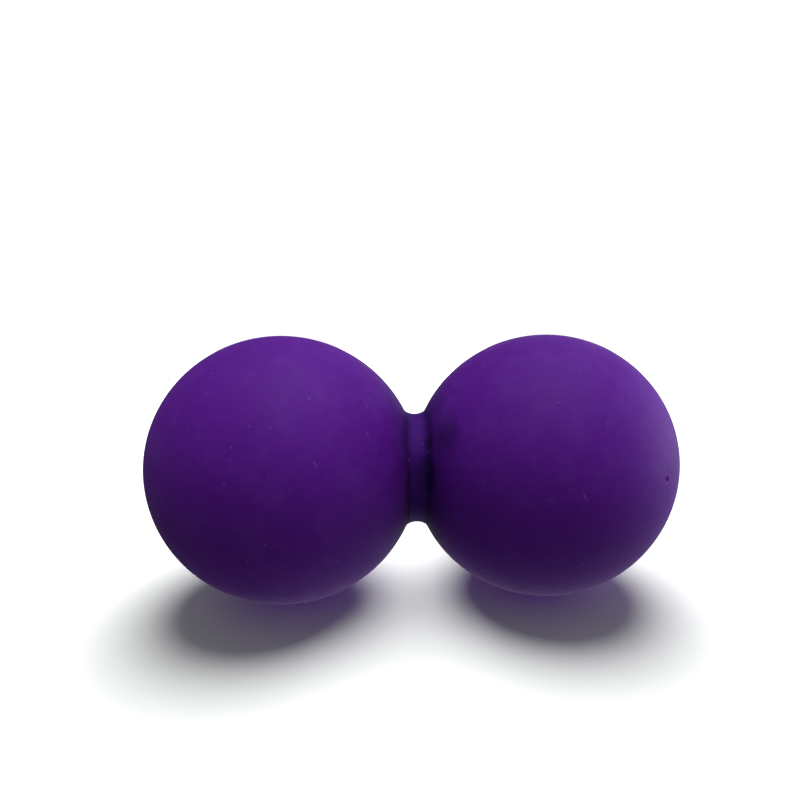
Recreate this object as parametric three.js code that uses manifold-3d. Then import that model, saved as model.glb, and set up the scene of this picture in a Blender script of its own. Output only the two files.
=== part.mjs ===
// A double massage ball: two silicone balls joined end to end by a short flexible waist.
//
// The frame is in millimetres. The balls lie side by side along X, Z is up, and the origin
// is on the floor, midway between the two small flats that the balls rest on.
//
// Each ball is a thick silicone skin over a dense rubber core. A mushroom-ended link is keyed
// into both cores and runs through the collar that forms the waist. A domed plug closes the
// hole that the core was held by while its skin was moulded.

import * as THREE from 'three';
import { mergeVertices } from 'three/addons/utils/BufferGeometryUtils.js';
import Module from 'manifold-3d';

// Driving dimensions
const BALL_RADIUS = 31.5;
const BALL_SPACING = 61.4; // centre to centre
const REST_FLAT_DEPTH = 0.15; // how far a ball flattens where it rests
const SKIN_THICKNESS = 3;
const WAIST_RADIUS = 13.15;
const WAIST_FILLET = 2.9;
const COLLAR_HALF_LENGTH = 2.3;
const LINK_RADIUS = 8;
const LINK_HEAD_RADIUS = 12;
const LINK_HEAD_LENGTH = 6.5;
const LINK_HEAD_ROUND = 1.5;
const LINK_HALF_LENGTH = 15.5;
const PLUG_RADIUS = 7.5;
const PLUG_STEM_RADIUS = 3;
const PLUG_STEM_LENGTH = 8;
const GAP = 0.3; // between pieces that touch

// How finely the round shapes are cut
const SIDES_AROUND = 40;
const FINE_STEP = THREE.MathUtils.degToRad(7.5);
const COARSE_STEP = THREE.MathUtils.degToRad(13);

// Derived places. A ball's own frame has its centre at the origin and its outer pole on its axis.
const WAIST_FROM_BALL = BALL_SPACING / 2;
const AXIS_HEIGHT = BALL_RADIUS - REST_FLAT_DEPTH;
const SKIN_BORE_RADIUS = BALL_RADIUS - SKIN_THICKNESS;
const CORE_RADIUS = SKIN_BORE_RADIUS - GAP;
const LINK_BORE_RADIUS = LINK_RADIUS + GAP;
const PLUG_SEAT_RADIUS = PLUG_RADIUS + GAP;

// The fillet touches the waist cylinder and the ball, so its centre is on both offset outlines.
const FILLET_CENTRE_RADIUS = WAIST_RADIUS + WAIST_FILLET;
const FILLET_CENTRE_FROM_BALL = Math.sqrt((BALL_RADIUS + WAIST_FILLET) ** 2 - FILLET_CENTRE_RADIUS ** 2);
const FILLET_START = WAIST_FROM_BALL - FILLET_CENTRE_FROM_BALL;
const FILLET_END_ANGLE = Math.acos(FILLET_CENTRE_RADIUS / (BALL_RADIUS + WAIST_FILLET));

const wasm = await Module();
wasm.setup();

const silicone = { color: 0x56218a, roughness: 0.72, metalness: 0 };
const collarSilicone = { color: 0x4a1f78, roughness: 0.75, metalness: 0 };
const coreRubber = { color: 0x2b2a2e, roughness: 0.85, metalness: 0 };
const linkElastomer = { color: 0x8d8794, roughness: 0.6, metalness: 0 };

// Points of an outline as (radius from the axis, distance along it).
function point(radius, along) {
  return new THREE.Vector2(radius, along);
}

// A ball's outline at an angle counted from the pole that faces the waist.
function onBall(radius, angle) {
  return point(radius * Math.sin(angle), -radius * Math.cos(angle));
}

// Points of a curve between two angles, both ends included.
function sweep(from, to, step, at) {
  const count = Math.max(1, Math.ceil(Math.abs(to - from) / step));
  const points = [];
  for (let i = 0; i <= count; i += 1) {
    points.push(at(from + ((to - from) * i) / count));
  }
  return points;
}

// Points along a ball's outline, with one of them at its widest.
function ballSweep(radius, from, to, step) {
  const widest = Math.PI / 2;
  const at = (angle) => onBall(radius, angle);
  return [...sweep(from, widest, step, at), ...sweep(widest, to, step, at).slice(1)];
}

// The angle at which a ball's outline is this far from the axis, on the side facing the waist.
function waistSideAngle(radius, distance) {
  return Math.asin(distance / radius);
}

function poleSideAngle(radius, distance) {
  return Math.PI - Math.asin(distance / radius);
}

// The angle round the fillet that lies this far from the middle of the waist.
function filletAngle(fromWaist) {
  return Math.asin((fromWaist - FILLET_START) / WAIST_FILLET);
}

// Turns an outline about the X axis. The outline runs anticlockwise round its material.
function turned(outline) {
  const closesOnAxis = outline[0].x === 0;
  const points = closesOnAxis ? outline : [...outline, outline[0].clone()];
  const geometry = new THREE.LatheGeometry(points, SIDES_AROUND);
  geometry.rotateZ(-Math.PI / 2);
  return geometry;
}

function toSolid(geometry) {
  const bare = geometry.clone();
  bare.deleteAttribute('normal');
  bare.deleteAttribute('uv');
  const merged = mergeVertices(bare, 1e-4);
  return new wasm.Manifold(new wasm.Mesh({
    numProp: 3,
    vertProperties: new Float32Array(merged.attributes.position.array),
    triVerts: new Uint32Array(merged.index.array),
  }));
}

function toGeometry(solid) {
  const mesh = solid.getMesh();
  const geometry = new THREE.BufferGeometry();
  geometry.setAttribute('position', new THREE.BufferAttribute(mesh.vertProperties, 3));
  geometry.setIndex(new THREE.BufferAttribute(mesh.triVerts, 1));
  geometry.computeVertexNormals();
  return geometry;
}

// The skin is open at the waist, where the link passes, and at the outer pole, where the plug sits.
// A small flat at the bottom is the patch that the ball rests on.
function skinGeometry() {
  const rim = COLLAR_HALF_LENGTH + GAP;
  const outline = [
    point(LINK_BORE_RADIUS, rim - WAIST_FROM_BALL),
    ...sweep(filletAngle(rim), FILLET_END_ANGLE, COARSE_STEP, (angle) => point(
      FILLET_CENTRE_RADIUS - WAIST_FILLET * Math.cos(angle),
      WAIST_FILLET * Math.sin(angle) - FILLET_CENTRE_FROM_BALL,
    )),
    ...ballSweep(
      BALL_RADIUS,
      Math.PI / 2 - FILLET_END_ANGLE,
      poleSideAngle(BALL_RADIUS, PLUG_SEAT_RADIUS),
      FINE_STEP,
    ).slice(1),
    ...ballSweep(
      SKIN_BORE_RADIUS,
      poleSideAngle(SKIN_BORE_RADIUS, PLUG_SEAT_RADIUS),
      waistSideAngle(SKIN_BORE_RADIUS, LINK_BORE_RADIUS),
      COARSE_STEP,
    ),
  ];
  const floorSize = 2 * BALL_RADIUS;
  const floor = new THREE.BoxGeometry(floorSize, floorSize, floorSize);
  floor.translate(0, 0, -AXIS_HEIGHT - floorSize / 2);
  return toGeometry(toSolid(turned(outline)).subtract(toSolid(floor)));
}

// The core has an undercut socket for the link's head, and a blind hole for the plug's stem.
function coreGeometry() {
  const socketFloor = LINK_HALF_LENGTH + GAP - WAIST_FROM_BALL;
  const socketLip = LINK_HALF_LENGTH - LINK_HEAD_LENGTH - GAP - WAIST_FROM_BALL;
  const socketRadius = LINK_HEAD_RADIUS + GAP;
  const stemHoleRadius = PLUG_STEM_RADIUS + GAP;
  const stemHoleFloor = SKIN_BORE_RADIUS - PLUG_STEM_LENGTH - GAP;
  return turned([
    point(0, socketFloor),
    point(socketRadius, socketFloor),
    point(socketRadius, socketLip),
    point(LINK_BORE_RADIUS, socketLip),
    ...ballSweep(
      CORE_RADIUS,
      waistSideAngle(CORE_RADIUS, LINK_BORE_RADIUS),
      poleSideAngle(CORE_RADIUS, stemHoleRadius),
      COARSE_STEP,
    ),
    point(stemHoleRadius, stemHoleFloor),
    point(0, stemHoleFloor),
  ]);
}

// The plug's dome carries on the ball's surface, and its back follows the core.
function plugGeometry() {
  const stemEnd = SKIN_BORE_RADIUS - PLUG_STEM_LENGTH;
  return turned([
    point(0, stemEnd),
    point(PLUG_STEM_RADIUS, stemEnd),
    ...sweep(
      poleSideAngle(SKIN_BORE_RADIUS, PLUG_STEM_RADIUS),
      poleSideAngle(SKIN_BORE_RADIUS, PLUG_RADIUS),
      FINE_STEP,
      (angle) => onBall(SKIN_BORE_RADIUS, angle),
    ),
    ...sweep(
      poleSideAngle(BALL_RADIUS, PLUG_RADIUS),
      Math.PI,
      FINE_STEP,
      (angle) => onBall(BALL_RADIUS, angle),
    ).slice(0, -1),
    point(0, BALL_RADIUS),
  ]);
}

// The collar is the waist's surface between its two creases, flared where the fillets start.
function collarGeometry() {
  const edgeAngle = filletAngle(COLLAR_HALF_LENGTH);
  const flare = (side) => (angle) => point(
    FILLET_CENTRE_RADIUS - WAIST_FILLET * Math.cos(angle),
    side * (FILLET_START + WAIST_FILLET * Math.sin(angle)),
  );
  return turned([
    point(LINK_BORE_RADIUS, -COLLAR_HALF_LENGTH),
    ...sweep(edgeAngle, 0, COARSE_STEP, flare(-1)),
    ...sweep(0, edgeAngle, COARSE_STEP, flare(1)),
    point(LINK_BORE_RADIUS, COLLAR_HALF_LENGTH),
  ]);
}

// The link is a round rod with a mushroom head at each end.
function linkGeometry() {
  const headStart = LINK_HALF_LENGTH - LINK_HEAD_LENGTH;
  const round = (side) => (angle) => point(
    LINK_HEAD_RADIUS - LINK_HEAD_ROUND * (1 - Math.cos(angle)),
    side * (LINK_HALF_LENGTH - LINK_HEAD_ROUND * (1 - Math.sin(angle))),
  );
  const roundStep = Math.PI / 8;
  return turned([
    point(0, -LINK_HALF_LENGTH),
    ...sweep(Math.PI / 2, 0, roundStep, round(-1)),
    point(LINK_HEAD_RADIUS, -headStart),
    point(LINK_RADIUS, -headStart),
    point(LINK_RADIUS, headStart),
    point(LINK_HEAD_RADIUS, headStart),
    ...sweep(0, Math.PI / 2, roundStep, round(1)),
    point(0, LINK_HALF_LENGTH),
  ]);
}

function piece(name, geometry, finish) {
  const mesh = new THREE.Mesh(geometry, new THREE.MeshStandardMaterial(finish));
  mesh.name = name;
  return mesh;
}

// A ball with its outer pole towards +X, or turned half round to face the other way.
function ball(side, turn) {
  const group = new THREE.Group();
  group.add(piece(`${side}_ball_skin`, skinGeometry(), silicone));
  group.add(piece(`${side}_core_ball`, coreGeometry(), coreRubber));
  group.add(piece(`${side}_end_plug`, plugGeometry(), silicone));
  group.position.x = WAIST_FROM_BALL * Math.cos(turn);
  group.rotation.z = turn;
  return group;
}

function waist() {
  const group = new THREE.Group();
  group.add(piece('waist_collar', collarGeometry(), collarSilicone));
  group.add(piece('waist_link', linkGeometry(), linkElastomer));
  return group;
}

const massageBall = new THREE.Group();
massageBall.add(ball('left', Math.PI));
massageBall.add(waist());
massageBall.add(ball('right', 0));
massageBall.position.z = AXIS_HEIGHT;

export default massageBall;
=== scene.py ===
"""Looks for the double massage ball: fine skins, waist, plugs and cores in matt silicone and rubber.

Lengths are in metres in the part's frame: the balls lie along X, the camera looks along +Y, Z is up.
"""

import math

import bmesh
import bpy
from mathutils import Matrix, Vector


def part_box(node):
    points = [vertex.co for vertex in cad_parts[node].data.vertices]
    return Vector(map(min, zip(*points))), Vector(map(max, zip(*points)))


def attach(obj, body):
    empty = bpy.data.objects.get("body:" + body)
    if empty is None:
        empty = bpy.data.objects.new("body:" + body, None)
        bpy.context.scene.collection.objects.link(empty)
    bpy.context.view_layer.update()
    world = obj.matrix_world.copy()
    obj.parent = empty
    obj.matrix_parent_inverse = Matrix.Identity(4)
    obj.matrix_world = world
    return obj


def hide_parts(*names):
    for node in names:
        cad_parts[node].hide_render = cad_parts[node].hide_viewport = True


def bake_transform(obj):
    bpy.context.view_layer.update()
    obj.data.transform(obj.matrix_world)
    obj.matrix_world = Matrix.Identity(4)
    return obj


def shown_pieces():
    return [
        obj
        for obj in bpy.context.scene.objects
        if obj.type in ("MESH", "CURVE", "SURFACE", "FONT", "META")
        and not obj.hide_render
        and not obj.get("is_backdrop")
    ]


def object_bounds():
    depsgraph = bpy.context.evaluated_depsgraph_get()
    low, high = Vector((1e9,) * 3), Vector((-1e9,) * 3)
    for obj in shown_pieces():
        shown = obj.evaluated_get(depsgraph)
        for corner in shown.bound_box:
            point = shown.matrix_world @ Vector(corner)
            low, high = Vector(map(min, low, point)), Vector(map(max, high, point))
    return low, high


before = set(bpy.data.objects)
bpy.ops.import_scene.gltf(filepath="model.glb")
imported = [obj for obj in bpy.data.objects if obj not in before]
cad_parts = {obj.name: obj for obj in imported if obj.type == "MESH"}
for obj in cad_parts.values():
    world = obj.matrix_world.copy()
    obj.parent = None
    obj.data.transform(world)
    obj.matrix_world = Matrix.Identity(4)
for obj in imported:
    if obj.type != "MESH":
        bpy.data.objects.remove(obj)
cad_low, cad_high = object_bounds()

MM = 0.001
TINY = 1e-7  # two lengths this close are the same

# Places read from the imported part
SKIN_LOW, SKIN_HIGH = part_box("right_ball_skin")
COLLAR_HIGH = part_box("waist_collar")[1]
LINK_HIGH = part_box("waist_link")[1]
PLUG_LOW, PLUG_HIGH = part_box("right_end_plug")
BALL_RADIUS = (SKIN_HIGH.y - SKIN_LOW.y) / 2
BALL_FROM_WAIST = PLUG_HIGH.x - BALL_RADIUS
AXIS_HEIGHT = (PLUG_LOW.z + PLUG_HIGH.z) / 2
FLOOR_HEIGHT = cad_low.z
WAIST_CENTRE = Vector((0, 0, AXIS_HEIGHT))

# Sizes of the pieces
GAP = 0.3 * MM
SKIN_THICKNESS = 3 * MM
SKIN_BORE_RADIUS = BALL_RADIUS - SKIN_THICKNESS
CORE_RADIUS = SKIN_BORE_RADIUS - GAP
WAIST_RADIUS = 13.15 * MM
WAIST_FILLET = 2.9 * MM
COLLAR_HALF_LENGTH = COLLAR_HIGH.x
SEAM_GAP = 0.03 * MM
RIM_FROM_WAIST = COLLAR_HALF_LENGTH + SEAM_GAP
LINK_RADIUS = 8 * MM
LINK_BORE_RADIUS = LINK_RADIUS + GAP
LINK_HEAD_RADIUS = LINK_HIGH.z - AXIS_HEIGHT
LINK_HALF_LENGTH = LINK_HIGH.x
LINK_HEAD_LENGTH = 6.5 * MM
LINK_HEAD_ROUND = 1.5 * MM
PLUG_RADIUS = PLUG_HIGH.z - AXIS_HEIGHT
PLUG_SEAM = 0.1 * MM
PLUG_SEAT_RADIUS = PLUG_RADIUS + PLUG_SEAM
PLUG_STEM_RADIUS = 3 * MM
PLUG_STEM_END = PLUG_LOW.x - BALL_FROM_WAIST
EDGE_ROUND = 0.28 * MM
SEAM_ROUND = 0.07 * MM
CREASE_DEPTH = 0.12 * MM
CREASE_WIDTH = 0.6 * MM

# The fillet touches the waist cylinder and the ball, so its centre is on both offset outlines.
FILLET_CENTRE_RADIUS = WAIST_RADIUS + WAIST_FILLET
FILLET_CENTRE_FROM_BALL = math.sqrt((BALL_RADIUS + WAIST_FILLET) ** 2 - FILLET_CENTRE_RADIUS**2)
FILLET_START = BALL_FROM_WAIST - FILLET_CENTRE_FROM_BALL
FILLET_END_ANGLE = math.acos(FILLET_CENTRE_RADIUS / (BALL_RADIUS + WAIST_FILLET))

# How finely the round shapes are cut
SIDES_AROUND = 180
INNER_SIDES = 96  # round a core or a plug
LINK_SIDES = 72
OUTER_STEP = math.radians(1.3)
INNER_STEP = math.radians(4)
DOME_STEP = math.radians(0.4)
FILLET_STEP = math.radians(2.2)
FLAT_STEP = 2 * MM  # along inner faces that nothing bends

# Moulding marks: the two halves of the mould meet in a plane through the axis.
PARTING_ANGLES = (math.radians(108), math.radians(-72))
PARTING_HEIGHT = 0.045 * MM
PARTING_WIDTH = 0.16 * MM
PARTING_REACH = 4 * PARTING_WIDTH
# The mesh is finer this far on each side of the line.
PARTING_BAND = math.radians(1.4)
PARTING_STEPS = 12
# (angle from the outer pole, angle round the axis from the front, radius, depth)
VENT_MARKS = (
    (math.radians(51), math.radians(10), 0.75 * MM, 0.42 * MM),
    (math.radians(50), math.radians(3.5), 0.4 * MM, 0.12 * MM),
    (math.radians(53.5), math.radians(35), 0.38 * MM, 0.1 * MM),
    (math.radians(53), math.radians(31), 0.34 * MM, 0.09 * MM),
)
# The mesh is finer round the marks: (middle of the band, half its width, steps)
MARK_BAND_AROUND = (math.radians(19), math.radians(19.5), 96)
MARK_BAND_FROM_POLE = (math.radians(51.7), math.radians(4), 28)

# Most of a noise texture's values lie between these.
NOISE_LOW, NOISE_HIGH = 0.3, 0.7

# Painted shade round the waist: how much of the silicone's colour it takes away, and how far it reaches
NECK_PAINTED_SHADE = 0.5
NECK_SHADE_START = 1.6 * MM
NECK_SHADE_END = 8.5 * MM
SHADE_AND_PATCH_WANDER = 1 * MM
# Painted shade in the creases along the seams
SEAM_PAINTED_SHADE = 0.27
SEAM_SHADE_REACH = 1.3 * MM
# Darker patches on the right ball beside the waist
# (angle from the right ball's outer pole, angle round the axis from the front, radius, strength)
DARK_PATCHES = (
    (math.radians(142), math.radians(37), 5 * MM, 0.4),
    (math.radians(153), math.radians(41), 3.2 * MM, 0.55),
    (math.radians(157), math.radians(14), 5.5 * MM, 0.36),
)
# The dark colour that the painted shade and the darker patches mix into the silicone
SHADE_AND_PATCH_COLOUR = (0.012, 0.001, 0.05)

# Lint and dust on the silicone
DUST_COLOUR = (0.36, 0.27, 0.52)
# (size of a cell, radius of a speck in it, share of the cells with one, strength)
SPECKS = (
    (2.2 * MM, 0.26 * MM, 0.1, 0.2),
    (1.1 * MM, 0.13 * MM, 0.12, 0.12),
)
# The same for fibres, after the way they lean
FIBRES = (
    ((0, math.radians(-32), 0), 1.6 * MM, 0.15 * MM, 0.34, 0.24),
    ((0.4, math.radians(-8), 0.3), 1.9 * MM, 0.13 * MM, 0.26, 0.2),
    ((0.2, math.radians(55), 0.3), 2 * MM, 0.12 * MM, 0.2, 0.16),
)
FIBRE_DRAW = 10  # a fibre is this many times as long as it is wide
FIBRE_WANDER = 0.9 * MM
FIBRE_WANDER_SIZE = 2.5 * MM

# The floor, and where its fade into the white surround starts and ends. Its faint green is against
# the purple that the balls throw on it.
FLOOR_COLOUR = (0.89, 0.91, 0.89)
FLOOR_RADIUS = 600 * MM
FLOOR_FADE_START = 130 * MM
FLOOR_FADE_END = 400 * MM
SURROUND_GLOW = 1.1

# The gate in the middle of each plug
GATE_RADIUS = 1.4 * MM
GATE_DEPTH = 0.16 * MM
GATE_NUB_RADIUS = 0.5 * MM
GATE_NUB_HEIGHT = 0.12 * MM


# Camera: where it stands, seen from the middle of the waist, and its framing
CAMERA_AZIMUTH = -3.47
CAMERA_ELEVATION = 18
CAMERA_DISTANCE = 4.3 * BALL_RADIUS
SENSOR_WIDTH = 36
LENS = 24.94
SHIFT = (-0.0191, 0.0845)


def towards(azimuth, elevation):
    """A direction by its azimuth, counted from the front towards +X, and its elevation, in degrees."""
    azimuth, elevation = math.radians(azimuth), math.radians(elevation)
    return Vector((
        math.sin(azimuth) * math.cos(elevation),
        -math.cos(azimuth) * math.cos(elevation),
        math.sin(elevation),
    ))


def make_camera():
    """A close wide view from the front and a little above, aimed at the waist."""
    back = towards(CAMERA_AZIMUTH, CAMERA_ELEVATION)
    data = bpy.data.cameras.new("camera")
    data.sensor_width = SENSOR_WIDTH
    data.lens = LENS
    data.shift_x, data.shift_y = SHIFT
    data.clip_start, data.clip_end = 0.005, 20
    camera = bpy.data.objects.new("camera", data)
    camera.location = WAIST_CENTRE + back * CAMERA_DISTANCE
    camera.rotation_mode = "QUATERNION"
    camera.rotation_quaternion = (-back).to_track_quat("-Z", "Y")
    bpy.context.scene.collection.objects.link(camera)
    bpy.context.scene.camera = camera


make_camera()


# Outlines: lists of (radius from the axis, distance along it), anticlockwise round the material


def sweep(start, end, step, at):
    """Points of a curve between two angles, both ends included."""
    count = max(1, math.ceil(abs(end - start) / step))
    return [at(start + (end - start) * i / count) for i in range(count + 1)]


def on_ball(radius):
    """A ball's outline at an angle counted from the pole that faces the waist."""
    return lambda angle: (radius * math.sin(angle), -radius * math.cos(angle))


def waist_side(radius, distance):
    """The angle at which a ball's outline is this far from the axis, on the waist's side."""
    return math.asin(distance / radius)


def pole_side(radius, distance):
    """The same on the outer pole's side."""
    return math.pi - math.asin(distance / radius)


def fillet_angle(from_waist):
    """The angle round the fillet at this distance from the middle of the waist."""
    return math.asin((from_waist - FILLET_START) / WAIST_FILLET)


def on_fillet(angle):
    """The fillet in the waist's frame, sunk in a soft crease along the seam."""
    from_waist = FILLET_START + WAIST_FILLET * math.sin(angle)
    from_seam = (from_waist - COLLAR_HALF_LENGTH) / CREASE_WIDTH
    crease = CREASE_DEPTH * math.exp(-(from_seam**2))
    return (FILLET_CENTRE_RADIUS - WAIST_FILLET * math.cos(angle) - crease, from_waist)


def straight(start, end, step=0.7 * MM):
    """Points from start to end, both included, no further apart than step."""
    length = math.dist(start, end)
    count = max(1, math.ceil(length / step))
    return [
        (start[0] + (end[0] - start[0]) * i / count, start[1] + (end[1] - start[1]) * i / count)
        for i in range(count + 1)
    ]


def rounded(before, corner, after, radius, steps=5):
    """The points of a round of this radius in place of a corner, between its neighbours' directions."""
    corner, before, after = Vector(corner), Vector(before), Vector(after)
    inward, outward = (before - corner).normalized(), (after - corner).normalized()
    half = inward.angle(outward) / 2
    tangent = radius / math.tan(half)
    centre = corner + (inward + outward).normalized() * radius / math.sin(half)
    start, end = corner + inward * tangent - centre, corner + outward * tangent - centre
    turn = start.angle_signed(end)
    points = []
    for i in range(steps + 1):
        angle = turn * i / steps
        cos, sin = math.cos(angle), math.sin(angle)
        # angle_signed counts clockwise
        points.append((
            centre.x + start.x * cos + start.y * sin,
            centre.y - start.x * sin + start.y * cos,
        ))
    return points


def skin_outline():
    """The skin in its ball's frame, open at the waist and at the outer pole, with rounded lips."""
    fillet = sweep(fillet_angle(RIM_FROM_WAIST), FILLET_END_ANGLE, FILLET_STEP, on_fillet)
    fillet = [(radius, from_waist - BALL_FROM_WAIST) for radius, from_waist in fillet]
    outer = sweep(
        math.pi / 2 - FILLET_END_ANGLE, pole_side(BALL_RADIUS, PLUG_SEAT_RADIUS),
        OUTER_STEP, on_ball(BALL_RADIUS),
    )
    inner = sweep(
        pole_side(SKIN_BORE_RADIUS, PLUG_SEAT_RADIUS), waist_side(SKIN_BORE_RADIUS, LINK_BORE_RADIUS),
        INNER_STEP, on_ball(SKIN_BORE_RADIUS),
    )
    bore_lip = (LINK_BORE_RADIUS, RIM_FROM_WAIST - BALL_FROM_WAIST)
    seam_lip = rounded(bore_lip, fillet[0], fillet[1], SEAM_ROUND)
    seat_lip = rounded(outer[-2], outer[-1], inner[0], EDGE_ROUND)
    return [
        *straight(bore_lip, seam_lip[0]),
        *seam_lip[1:],
        *fillet[3:-1],
        *outer[:-1],
        *seat_lip,
        *straight(seat_lip[-1], inner[0])[1:],
        *inner[1:],
    ]


def core_outline():
    """The core, with an undercut socket for the link's head and a blind hole for the plug's stem."""
    socket_floor = LINK_HALF_LENGTH + GAP - BALL_FROM_WAIST
    socket_lip = LINK_HALF_LENGTH - LINK_HEAD_LENGTH - GAP - BALL_FROM_WAIST
    socket_radius = LINK_HEAD_RADIUS + GAP
    stem_hole = PLUG_STEM_RADIUS + GAP
    stem_floor = PLUG_STEM_END - GAP
    outer = sweep(
        waist_side(CORE_RADIUS, LINK_BORE_RADIUS), pole_side(CORE_RADIUS, stem_hole),
        INNER_STEP, on_ball(CORE_RADIUS),
    )
    neck = (LINK_BORE_RADIUS, socket_lip)
    lip = rounded(neck, outer[0], outer[1], EDGE_ROUND)
    hole_lip = rounded(outer[-2], outer[-1], (stem_hole, stem_floor), EDGE_ROUND)
    return [
        *straight((0, socket_floor), (socket_radius, socket_floor), FLAT_STEP),
        *straight((socket_radius, socket_floor), (socket_radius, socket_lip))[1:],
        *straight((socket_radius, socket_lip), neck)[1:],
        *straight(neck, lip[0])[1:],
        *lip[1:],
        *outer[1:-1],
        *hole_lip,
        *straight(hole_lip[-1], (stem_hole, stem_floor), FLAT_STEP)[1:],
        *straight((stem_hole, stem_floor), (0, stem_floor), FLAT_STEP)[1:],
    ]


def plug_outline():
    """The plug: a dome that carries on the ball's surface, a back that follows the core, and a stem."""
    back = sweep(
        pole_side(SKIN_BORE_RADIUS, PLUG_STEM_RADIUS), pole_side(SKIN_BORE_RADIUS, PLUG_RADIUS),
        OUTER_STEP, on_ball(SKIN_BORE_RADIUS),
    )
    dome = sweep(pole_side(BALL_RADIUS, PLUG_RADIUS), math.pi, DOME_STEP, on_ball(BALL_RADIUS))
    stem = (PLUG_STEM_RADIUS, PLUG_STEM_END)
    edge = rounded(back[-1], dome[0], dome[2], EDGE_ROUND)
    stem_edge = rounded((0, PLUG_STEM_END), stem, back[0], EDGE_ROUND)
    return [
        (0, PLUG_STEM_END),
        *stem_edge,
        *straight(stem_edge[-1], back[0])[1:],
        *back[1:],
        *straight(back[-1], edge[0])[1:],
        *edge[1:],
        *dome[2:-1],
        (0, BALL_RADIUS),
    ]


def collar_outline():
    """The waist's surface between its two creases, in the waist's frame."""
    high = sweep(0, fillet_angle(COLLAR_HALF_LENGTH), FILLET_STEP, on_fillet)
    high_bore = (LINK_BORE_RADIUS, COLLAR_HALF_LENGTH)
    high_lip = rounded(high[-2], high[-1], high_bore, SEAM_ROUND)
    high_half = [*high[:-3], *high_lip, *straight(high_lip[-1], high_bore)[1:]]
    low_half = [(radius, -along) for radius, along in reversed(high_half)]
    return [
        *low_half,
        *straight(low_half[-1], high_half[0], step=0.3 * MM)[1:-1],
        *high_half,
        *straight(high_bore, low_half[0], step=0.5 * MM)[1:-1],
    ]


def link_end_outline():
    """One end of the link, from the rim of the skin out to its head, in the waist's frame."""
    head_start = LINK_HALF_LENGTH - LINK_HEAD_LENGTH
    head_edge = rounded(
        (LINK_HEAD_RADIUS, head_start), (LINK_HEAD_RADIUS, LINK_HALF_LENGTH), (0, LINK_HALF_LENGTH),
        LINK_HEAD_ROUND, steps=8,
    )
    return [
        *straight((0, RIM_FROM_WAIST), (LINK_RADIUS, RIM_FROM_WAIST), FLAT_STEP),
        *straight((LINK_RADIUS, RIM_FROM_WAIST), (LINK_RADIUS, head_start), step=0.5 * MM)[1:],
        *straight((LINK_RADIUS, head_start), (LINK_HEAD_RADIUS, head_start))[1:],
        *straight((LINK_HEAD_RADIUS, head_start), head_edge[0])[1:],
        *head_edge[1:],
        *straight(head_edge[-1], (0, LINK_HALF_LENGTH), FLAT_STEP)[1:],
    ]


def link_middle_outline():
    """The link's rod where it passes through the waist."""
    half = RIM_FROM_WAIST
    return [
        *straight((0, -half), (LINK_RADIUS, -half), FLAT_STEP),
        *straight((LINK_RADIUS, -half), (LINK_RADIUS, half), step=0.4 * MM)[1:],
        *straight((LINK_RADIUS, half), (0, half), FLAT_STEP)[1:],
    ]


# Meshes


def with_fine_bands(values, bands):
    """Sorted values, with each (centre, half width, count) band cut into finer steps."""
    for centre, half, count in bands:
        values = [v for v in values if abs(v - centre) > half]
        values += [centre + half * (2 * i / count - 1) for i in range(count + 1)]
    return sorted(values)


def refine_outline(outline, band):
    """The outline with the ball's surface cut finer in a band of angles from the outer pole."""
    outer = [p for p in outline if abs(math.hypot(*p) - BALL_RADIUS) < TINY]
    first = outline.index(outer[0])
    angles = [math.atan2(radius, along) for radius, along in outer]
    finer = with_fine_bands(angles, [band])[::-1]
    points = [(BALL_RADIUS * math.sin(a), BALL_RADIUS * math.cos(a)) for a in finer]
    return outline[:first] + points + outline[first + len(outer):]


def even_angles(count):
    """Angles round the axis from the front, all the same step apart."""
    return [2 * math.pi * (i / count - 0.5) for i in range(count)]


def angles_around(extra=()):
    """The same, with fine bands where the mould's halves met."""
    bands = [(angle, PARTING_BAND, PARTING_STEPS) for angle in PARTING_ANGLES]
    return with_fine_bands(even_angles(SIDES_AROUND), bands + list(extra))


def place(side, offset, radius, along, angle):
    """A point at this distance along one side's axis and angle round it, counted up from the front."""
    return Vector((
        side * (offset + along),
        -radius * math.cos(angle),
        AXIS_HEIGHT + radius * math.sin(angle),
    ))


def outward(side, from_pole, around):
    """A direction out of a ball's centre, by its angles from the outer pole and round the axis."""
    return Vector((
        side * math.cos(from_pole),
        -math.sin(from_pole) * math.cos(around),
        math.sin(from_pole) * math.sin(around),
    ))


def turned(name, outline, side, offset, angles):
    """A closed mesh of the outline turned about the axis, smooth shaded, in the part's frame."""
    mesh = bpy.data.meshes.new(name)
    bm = bmesh.new()
    rings = []
    for radius, along in outline:
        if radius < TINY:
            rings.append([bm.verts.new(place(side, offset, 0, along, 0))])
        else:
            rings.append([bm.verts.new(place(side, offset, radius, along, a)) for a in angles])
    count = len(angles)
    closes_on_axis = len(rings[0]) == 1
    pairs = list(zip(rings, rings[1:] if closes_on_axis else rings[1:] + rings[:1]))
    for low, high in pairs:
        for j in range(count):
            k = (j + 1) % count
            if len(low) == 1:
                corners = [low[0], high[j], high[k]]
            elif len(high) == 1:
                corners = [low[j], high[0], low[k]]
            else:
                corners = [low[j], high[j], high[k], low[k]]
            bm.faces.new(corners if side > 0 else corners[::-1])
    for face in bm.faces:
        face.smooth = True
    bm.to_mesh(mesh)
    bm.free()
    piece = bpy.data.objects.new(name, mesh)
    bpy.context.scene.collection.objects.link(piece)
    return piece


def raise_parting_line(piece, centre, inner_radius):
    """A hair-thin ridge where the halves of the mould met, on what is further out than this radius."""
    for vertex in piece.data.vertices:
        offset = vertex.co - centre
        around = math.hypot(offset.y, offset.z)
        if offset.length < inner_radius or around < 1 * MM:
            continue
        angle = math.atan2(offset.z, -offset.y)
        from_line = min(abs(angle - line) for line in PARTING_ANGLES) * around
        if from_line < PARTING_REACH:
            away = Vector((0, offset.y, offset.z)) / around
            vertex.co += away * PARTING_HEIGHT * math.exp(-((from_line / PARTING_WIDTH) ** 2))


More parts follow.
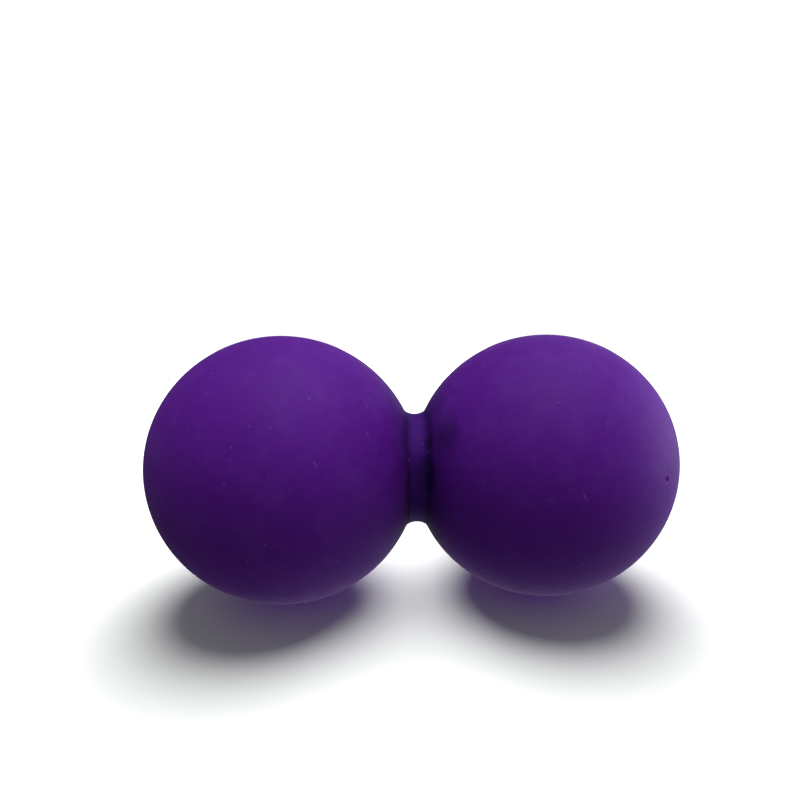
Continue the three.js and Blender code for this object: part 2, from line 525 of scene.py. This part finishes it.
def press_marks(piece, centre, side, marks):
    """Small round hollows pressed into a ball."""
    for from_pole, around, radius, depth in marks:
        direction = outward(side, from_pole, around)
        middle = centre + direction * BALL_RADIUS
        for vertex in piece.data.vertices:
            distance = (vertex.co - middle).length
            if distance < radius:
                vertex.co -= direction * depth * (1 - (distance / radius) ** 2) ** 1.5


def flatten_at_floor(piece):
    """The silicone gives where the ball rests, so nothing goes below the floor."""
    for vertex in piece.data.vertices:
        vertex.co.z = max(vertex.co.z, FLOOR_HEIGHT)


def mark_gate(piece, side):
    """A shallow hollow in the middle of the plug, with the nub where the silicone came in."""
    middle = Vector((side * (BALL_FROM_WAIST + BALL_RADIUS), 0, AXIS_HEIGHT))
    for vertex in piece.data.vertices:
        distance = (vertex.co - middle).length
        if distance < GATE_RADIUS:
            hollow = GATE_DEPTH * (1 - (distance / GATE_RADIUS) ** 4)
            nub = GATE_NUB_HEIGHT * max(0, 1 - (distance / GATE_NUB_RADIUS) ** 2)
            vertex.co.x -= side * (hollow - nub)


# Materials


def new_material(name):
    material = bpy.data.materials.new(name)
    material.use_nodes = True
    nodes = material.node_tree.nodes
    return material, nodes, material.node_tree.links, nodes["Principled BSDF"]


def noise(nodes, links, coordinates, size, detail, roughness=0.5):
    node = nodes.new("ShaderNodeTexNoise")
    node.inputs["Scale"].default_value = 1 / size
    node.inputs["Detail"].default_value = detail
    node.inputs["Roughness"].default_value = roughness
    links.new(coordinates, node.inputs["Vector"])
    return node.outputs["Fac"]


def remap(nodes, links, value, from_low, from_high, to_low, to_high, smooth=False):
    node = nodes.new("ShaderNodeMapRange")
    node.interpolation_type = "SMOOTHSTEP" if smooth else "LINEAR"
    node.inputs["From Min"].default_value = from_low
    node.inputs["From Max"].default_value = from_high
    node.inputs["To Min"].default_value = to_low
    node.inputs["To Max"].default_value = to_high
    links.new(value, node.inputs["Value"])
    return node.outputs["Result"]


def combine(nodes, links, operation, first, second):
    node = nodes.new("ShaderNodeMath")
    node.operation = operation
    for socket, value in zip(node.inputs, (first, second)):
        if isinstance(value, (int, float)):
            socket.default_value = value
        else:
            links.new(value, socket)
    return node.outputs["Value"]


def mix_colour(nodes, links, factor, first, second):
    node = nodes.new("ShaderNodeMix")
    node.data_type = "RGBA"
    links.new(factor, node.inputs["Factor"])
    for name, colour in (("A", first), ("B", second)):
        socket = [s for s in node.inputs if s.name == name and s.type == "RGBA"][0]
        if isinstance(colour, tuple):
            socket.default_value = (*colour, 1)
        else:
            links.new(colour, socket)
    return [s for s in node.outputs if s.type == "RGBA"][0]


def specks(nodes, links, coordinates, cell, radius, share):
    """1 inside sparse round specks, one in a share of the cells of this size, and 0 elsewhere."""
    voronoi = nodes.new("ShaderNodeTexVoronoi")
    voronoi.inputs["Scale"].default_value = 1 / cell
    links.new(coordinates, voronoi.inputs["Vector"])
    near = remap(nodes, links, voronoi.outputs["Distance"], 0.4 * radius / cell, radius / cell, 1, 0)
    split = nodes.new("ShaderNodeSeparateColor")
    links.new(voronoi.outputs["Color"], split.inputs["Color"])
    chosen = combine(nodes, links, "LESS_THAN", split.outputs["Red"], share)
    return combine(nodes, links, "MULTIPLY", near, chosen)


def fibres(nodes, links, coordinates, lean, cell, radius, share):
    """Specks drawn out along one direction, which wander a little, as short lint fibres do."""
    wander = nodes.new("ShaderNodeTexNoise")
    wander.inputs["Scale"].default_value = 1 / FIBRE_WANDER_SIZE
    links.new(coordinates, wander.inputs["Vector"])
    bent = nodes.new("ShaderNodeVectorMath")
    bent.operation = "MULTIPLY_ADD"
    bent.inputs[1].default_value = (FIBRE_WANDER, FIBRE_WANDER, FIBRE_WANDER)
    links.new(wander.outputs["Color"], bent.inputs[0])
    links.new(coordinates, bent.inputs[2])
    turned_and_drawn = nodes.new("ShaderNodeMapping")
    turned_and_drawn.vector_type = "TEXTURE"
    turned_and_drawn.inputs["Rotation"].default_value = lean
    turned_and_drawn.inputs["Scale"].default_value = (1, 1, FIBRE_DRAW)
    links.new(bent.outputs["Vector"], turned_and_drawn.inputs["Vector"])
    return specks(nodes, links, turned_and_drawn.outputs["Vector"], cell, radius, share)


def dark_patch(nodes, links, coordinates, uneven, from_pole, around, radius, strength):
    """A soft darker patch on the right ball."""
    offset = nodes.new("ShaderNodeVectorMath")
    offset.operation = "DISTANCE"
    links.new(coordinates, offset.inputs[0])
    centre = Vector((BALL_FROM_WAIST, 0, AXIS_HEIGHT))
    offset.inputs[1].default_value = centre + outward(1, from_pole, around) * BALL_RADIUS
    reach = combine(nodes, links, "ADD", offset.outputs["Value"], uneven)
    return remap(nodes, links, reach, 0.2 * radius, radius, strength, 0, smooth=True)


def painted_shade_and_patches(nodes, links, coordinates):
    """How much darker the silicone is painted: painted shade round the waist and in its creases, and a
    few darker patches.
    """
    split = nodes.new("ShaderNodeSeparateXYZ")
    links.new(coordinates, split.inputs["Vector"])
    from_waist = combine(nodes, links, "ABSOLUTE", split.outputs["X"], 0)
    uneven = noise(nodes, links, coordinates, 6 * MM, 2)
    uneven = remap(nodes, links, uneven, NOISE_LOW, NOISE_HIGH, -SHADE_AND_PATCH_WANDER, SHADE_AND_PATCH_WANDER)
    reach = combine(nodes, links, "ADD", from_waist, uneven)
    # Painted shade in the neck, fading out away from the waist
    total = remap(nodes, links, reach, NECK_SHADE_START, NECK_SHADE_END, NECK_PAINTED_SHADE, 0, smooth=True)
    # Painted shade in the creases along the seams
    from_seam = combine(nodes, links, "SUBTRACT", from_waist, COLLAR_HALF_LENGTH)
    from_seam = combine(nodes, links, "ABSOLUTE", from_seam, 0)
    layers = [remap(nodes, links, from_seam, 0, SEAM_SHADE_REACH, SEAM_PAINTED_SHADE, 0, smooth=True)]
    # Darker patches on the right ball beside the waist
    for from_pole, around, radius, strength in DARK_PATCHES:
        layers.append(dark_patch(nodes, links, coordinates, uneven, from_pole, around, radius, strength))
    for layer in layers:
        total = combine(nodes, links, "ADD", total, layer)
    return total


def silicone(name, deep, pale, shine):
    """Matt silicone: mottled colour, painted shade round the waist and in its creases, a few darker
    patches, a fine skin grain, a faint bloom, and lint on its surface.
    """
    material, nodes, links, shader = new_material(name)
    coordinates = nodes.new("ShaderNodeTexCoord").outputs["Object"]
    broad = noise(nodes, links, coordinates, 14 * MM, 2)
    blotch = noise(nodes, links, coordinates, 2.4 * MM, 4, 0.6)
    mealy = noise(nodes, links, coordinates, 1.1 * MM, 4, 0.7)
    grain = noise(nodes, links, coordinates, 0.35 * MM, 3, 0.7)
    tone = remap(nodes, links, broad, NOISE_LOW, NOISE_HIGH, 0, 0.26)
    for layer, share in ((blotch, 0.36), (mealy, 0.38)):
        layer = remap(nodes, links, layer, NOISE_LOW, NOISE_HIGH, 0, share)
        tone = combine(nodes, links, "ADD", tone, layer)
    body = mix_colour(nodes, links, tone, deep, pale)
    # Painted shade round the waist and in its creases, and the darker patches, mixed into the colour
    body = mix_colour(nodes, links, painted_shade_and_patches(nodes, links, coordinates), body, SHADE_AND_PATCH_COLOUR)
    bloom = noise(nodes, links, coordinates, 7 * MM, 6, 0.7)
    dust = remap(nodes, links, bloom, 0.5, 0.8, 0, 0.04)
    lint = [(specks(nodes, links, coordinates, *size), strength) for *size, strength in SPECKS]
    lint += [(fibres(nodes, links, coordinates, *size), strength) for *size, strength in FIBRES]
    for layer, strength in lint:
        layer = combine(nodes, links, "MULTIPLY", layer, strength)
        dust = combine(nodes, links, "MAXIMUM", dust, layer)
    links.new(mix_colour(nodes, links, dust, body, DUST_COLOUR), shader.inputs["Base Color"])
    links.new(remap(nodes, links, blotch, 0.25, 0.75, 0.6, 0.7), shader.inputs["Roughness"])
    bump = nodes.new("ShaderNodeBump")
    bump.inputs["Strength"].default_value = 0.35
    bump.inputs["Distance"].default_value = 0.012 * MM
    links.new(combine(nodes, links, "ADD", grain, dust), bump.inputs["Height"])
    links.new(bump.outputs["Normal"], shader.inputs["Normal"])
    shader.inputs["IOR"].default_value = 1.42
    shader.inputs["Specular IOR Level"].default_value = shine
    return material


def rubber(name, deep, pale, roughness):
    """Moulded rubber with a mealy grain."""
    material, nodes, links, shader = new_material(name)
    coordinates = nodes.new("ShaderNodeTexCoord").outputs["Object"]
    grain = noise(nodes, links, coordinates, 0.6 * MM, 5, 0.65)
    patches = noise(nodes, links, coordinates, 5 * MM, 2)
    links.new(
        mix_colour(nodes, links, remap(nodes, links, patches, NOISE_LOW, NOISE_HIGH, 0, 1), deep, pale),
        shader.inputs["Base Color"],
    )
    links.new(
        remap(nodes, links, grain, NOISE_LOW, NOISE_HIGH, roughness - 0.08, roughness + 0.08),
        shader.inputs["Roughness"],
    )
    bump = nodes.new("ShaderNodeBump")
    bump.inputs["Strength"].default_value = 0.4
    bump.inputs["Distance"].default_value = 0.03 * MM
    links.new(grain, bump.inputs["Height"])
    links.new(bump.outputs["Normal"], shader.inputs["Normal"])
    return material


ball_silicone = silicone(
    "ball_silicone", deep=(0.08, 0.0046, 0.222), pale=(0.102, 0.0078, 0.278), shine=0.15,
)
collar_silicone = silicone(
    "collar_silicone", deep=(0.068, 0.0036, 0.222), pale=(0.084, 0.006, 0.27), shine=0.09,
)
core_rubber = rubber(
    "core_rubber", deep=(0.02, 0.019, 0.023), pale=(0.032, 0.03, 0.036), roughness=0.8,
)
link_elastomer = rubber(
    "link_elastomer", deep=(0.24, 0.22, 0.27), pale=(0.3, 0.27, 0.33), roughness=0.5,
)


# Pieces


def finish_piece(piece, material, node):
    """Gives a piece its material and hides the CAD node it stands for."""
    piece.data.materials.append(material)
    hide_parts(node)
    return piece


def bend_into_waist(piece, side_name):
    """Bakes the piece's place into its mesh; nothing here turns it to follow the waist."""
    side = -1 if side_name == "left" else 1
    if side < 0:
        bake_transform(piece)
    else:
        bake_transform(piece)


def make_skin(side_name, side):
    centre = Vector((side * BALL_FROM_WAIST, 0, AXIS_HEIGHT))
    marks = VENT_MARKS if side > 0 else ()
    outline = skin_outline()
    bands = []
    if marks:
        bands.append(MARK_BAND_AROUND)
        outline = refine_outline(outline, MARK_BAND_FROM_POLE)
    piece = turned(f"{side_name}_silicone_skin", outline, side, BALL_FROM_WAIST, angles_around(bands))
    raise_parting_line(piece, centre, BALL_RADIUS - 0.5 * MM)
    press_marks(piece, centre, side, marks)
    flatten_at_floor(piece)
    finish_piece(piece, ball_silicone, f"{side_name}_ball_skin")
    bend_into_waist(piece, side_name)


def make_core(side_name, side):
    angles = even_angles(INNER_SIDES)
    piece = turned(f"{side_name}_rubber_core", core_outline(), side, BALL_FROM_WAIST, angles)
    finish_piece(piece, core_rubber, f"{side_name}_core_ball")
    bend_into_waist(piece, side_name)


def make_plug(side_name, side):
    angles = even_angles(INNER_SIDES)
    piece = turned(f"{side_name}_pole_plug", plug_outline(), side, BALL_FROM_WAIST, angles)
    mark_gate(piece, side)
    finish_piece(piece, ball_silicone, f"{side_name}_end_plug")
    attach(piece, f"{side_name}_ball")


def make_collar():
    piece = turned("waist_silicone_collar", collar_outline(), 1, 0, angles_around())
    raise_parting_line(piece, WAIST_CENTRE, WAIST_RADIUS - 0.1 * MM)
    finish_piece(piece, collar_silicone, "waist_collar")
    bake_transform(piece)


def make_link():
    """The link is one piece, drawn in three stretches because the waist's joints bend it in turn."""
    for side_name, side in (("left", -1), ("right", 1)):
        end = turned(f"link_{side_name}_end", link_end_outline(), side, 0, even_angles(LINK_SIDES))
        finish_piece(end, link_elastomer, "waist_link")
        bend_into_waist(end, side_name)
    middle = turned("link_middle", link_middle_outline(), 1, 0, even_angles(LINK_SIDES))
    finish_piece(middle, link_elastomer, "waist_link")
    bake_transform(middle)


for ball_name, ball_side in (("left", -1), ("right", 1)):
    make_skin(ball_name, ball_side)
    make_core(ball_name, ball_side)
    make_plug(ball_name, ball_side)
make_collar()
make_link()


# Stage: a white floor and surround that only the camera sees, a faint even surround and soft lamps


def collection_of(name, objects):
    """A collection that only says which objects a lamp lights, or which ones block it."""
    collection = bpy.data.collections.new(name)
    for item in objects:
        collection.objects.link(item)
    return collection


def seen_by_camera_only(item):
    item.visible_diffuse = False
    item.visible_glossy = False
    item.visible_transmission = False
    item.visible_shadow = False
    item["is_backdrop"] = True


def make_floor():
    """A white disc, which fades into the surround away from the object."""
    bm = bmesh.new()
    bmesh.ops.create_circle(bm, cap_ends=True, radius=FLOOR_RADIUS, segments=96)
    mesh = bpy.data.meshes.new("floor")
    bm.to_mesh(mesh)
    bm.free()
    floor = bpy.data.objects.new("floor", mesh)
    floor.location.z = FLOOR_HEIGHT
    bpy.context.scene.collection.objects.link(floor)
    material, nodes, links, shader = new_material("floor_white")
    shader.inputs["Base Color"].default_value = (*FLOOR_COLOUR, 1)
    shader.inputs["Roughness"].default_value = 1
    shader.inputs["Specular IOR Level"].default_value = 0
    from_middle = nodes.new("ShaderNodeVectorMath")
    from_middle.operation = "LENGTH"
    links.new(nodes.new("ShaderNodeTexCoord").outputs["Object"], from_middle.inputs[0])
    distance = from_middle.outputs["Value"]
    glow = remap(nodes, links, distance, FLOOR_FADE_START, FLOOR_FADE_END, 0, 1, smooth=True)
    shader.inputs["Emission Color"].default_value = (1, 1, 1, 1)
    links.new(glow, shader.inputs["Emission Strength"])
    material.cycles.emission_sampling = "NONE"
    mesh.materials.append(material)
    seen_by_camera_only(floor)
    return floor


def make_surround():
    """A white dome behind everything, which gives no light."""
    bm = bmesh.new()
    bmesh.ops.create_icosphere(bm, subdivisions=4, radius=FLOOR_RADIUS)
    mesh = bpy.data.meshes.new("surround")
    bm.to_mesh(mesh)
    bm.free()
    surround = bpy.data.objects.new("surround", mesh)
    bpy.context.scene.collection.objects.link(surround)
    material, _, _, shader = new_material("surround_white")
    shader.inputs["Base Color"].default_value = (0, 0, 0, 1)
    shader.inputs["Specular IOR Level"].default_value = 0
    shader.inputs["Emission Color"].default_value = (1, 1, 1, 1)
    shader.inputs["Emission Strength"].default_value = SURROUND_GLOW
    material.cycles.emission_sampling = "NONE"
    mesh.materials.append(material)
    seen_by_camera_only(surround)


def place_lamp(lamp, lit, blockers):
    """Puts a lamp in the scene, unseen, so that it lights some objects and others cast its shadows."""
    lamp.visible_camera = False
    lamp.light_linking.receiver_collection = lit
    lamp.light_linking.blocker_collection = blockers
    bpy.context.scene.collection.objects.link(lamp)


def make_sun(name, strength, softness, azimuth, elevation):
    """A soft distant lamp, which lights the object only."""
    data = bpy.data.lights.new(name, "SUN")
    data.energy = strength
    data.angle = math.radians(softness)
    sun = bpy.data.objects.new(name, data)
    sun.rotation_mode = "QUATERNION"
    sun.rotation_quaternion = towards(azimuth, elevation).to_track_quat("Z", "Y")
    place_lamp(sun, whole_object, whole_object)


def make_side_lamp(energy, radius, distance, azimuth, elevation):
    """A soft round lamp close on the right, which makes the right ball a little brighter."""
    data = bpy.data.lights.new("side_lamp", "POINT")
    data.energy = energy
    data.shadow_soft_size = radius
    lamp = bpy.data.objects.new("side_lamp", data)
    lamp.location = WAIST_CENTRE + towards(azimuth, elevation) * distance
    place_lamp(lamp, whole_object, whole_object)


def make_floor_lamp(energy, radius, place_in_balls):
    """A soft round lamp above and behind, which burns the floor out to white round the shadows.

    Its place is counted in ball radii from the floor under the waist.
    """
    data = bpy.data.lights.new("floor_lamp", "POINT")
    data.energy = energy
    data.shadow_soft_size = radius
    data.use_nodes = True
    nodes, links = data.node_tree.nodes, data.node_tree.links
    falloff = nodes.new("ShaderNodeLightFalloff")
    falloff.inputs["Strength"].default_value = 1
    links.new(falloff.outputs["Constant"], nodes["Emission"].inputs["Strength"])
    lamp = bpy.data.objects.new("floor_lamp", data)
    x, y, z = (count * BALL_RADIUS for count in place_in_balls)
    lamp.location = (x, y, FLOOR_HEIGHT + z)
    place_lamp(lamp, floor_only, cores)


def make_world(strength):
    world = bpy.data.worlds.new("surround")
    world.use_nodes = True
    background = world.node_tree.nodes["Background"]
    background.inputs["Color"].default_value = (1, 1, 1, 1)
    background.inputs["Strength"].default_value = strength
    bpy.context.scene.world = world


stage_floor = make_floor()
make_surround()
whole_object = collection_of("whole_object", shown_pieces())
cores = collection_of("cores", [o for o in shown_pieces() if "core" in o.name])
floor_only = collection_of("floor_only", [stage_floor])
make_sun("key", strength=2.86, softness=40, azimuth=60, elevation=82)
make_sun("floor_bounce", strength=1.54, softness=120, azimuth=135, elevation=-30)
make_side_lamp(energy=0.444, radius=60 * MM, distance=200 * MM, azimuth=90, elevation=10)
make_floor_lamp(energy=72, radius=104 * MM, place_in_balls=(0.5, 1.9, 7.2))
make_world(strength=0.2)

bpy.context.scene.view_settings.view_transform = "Standard"
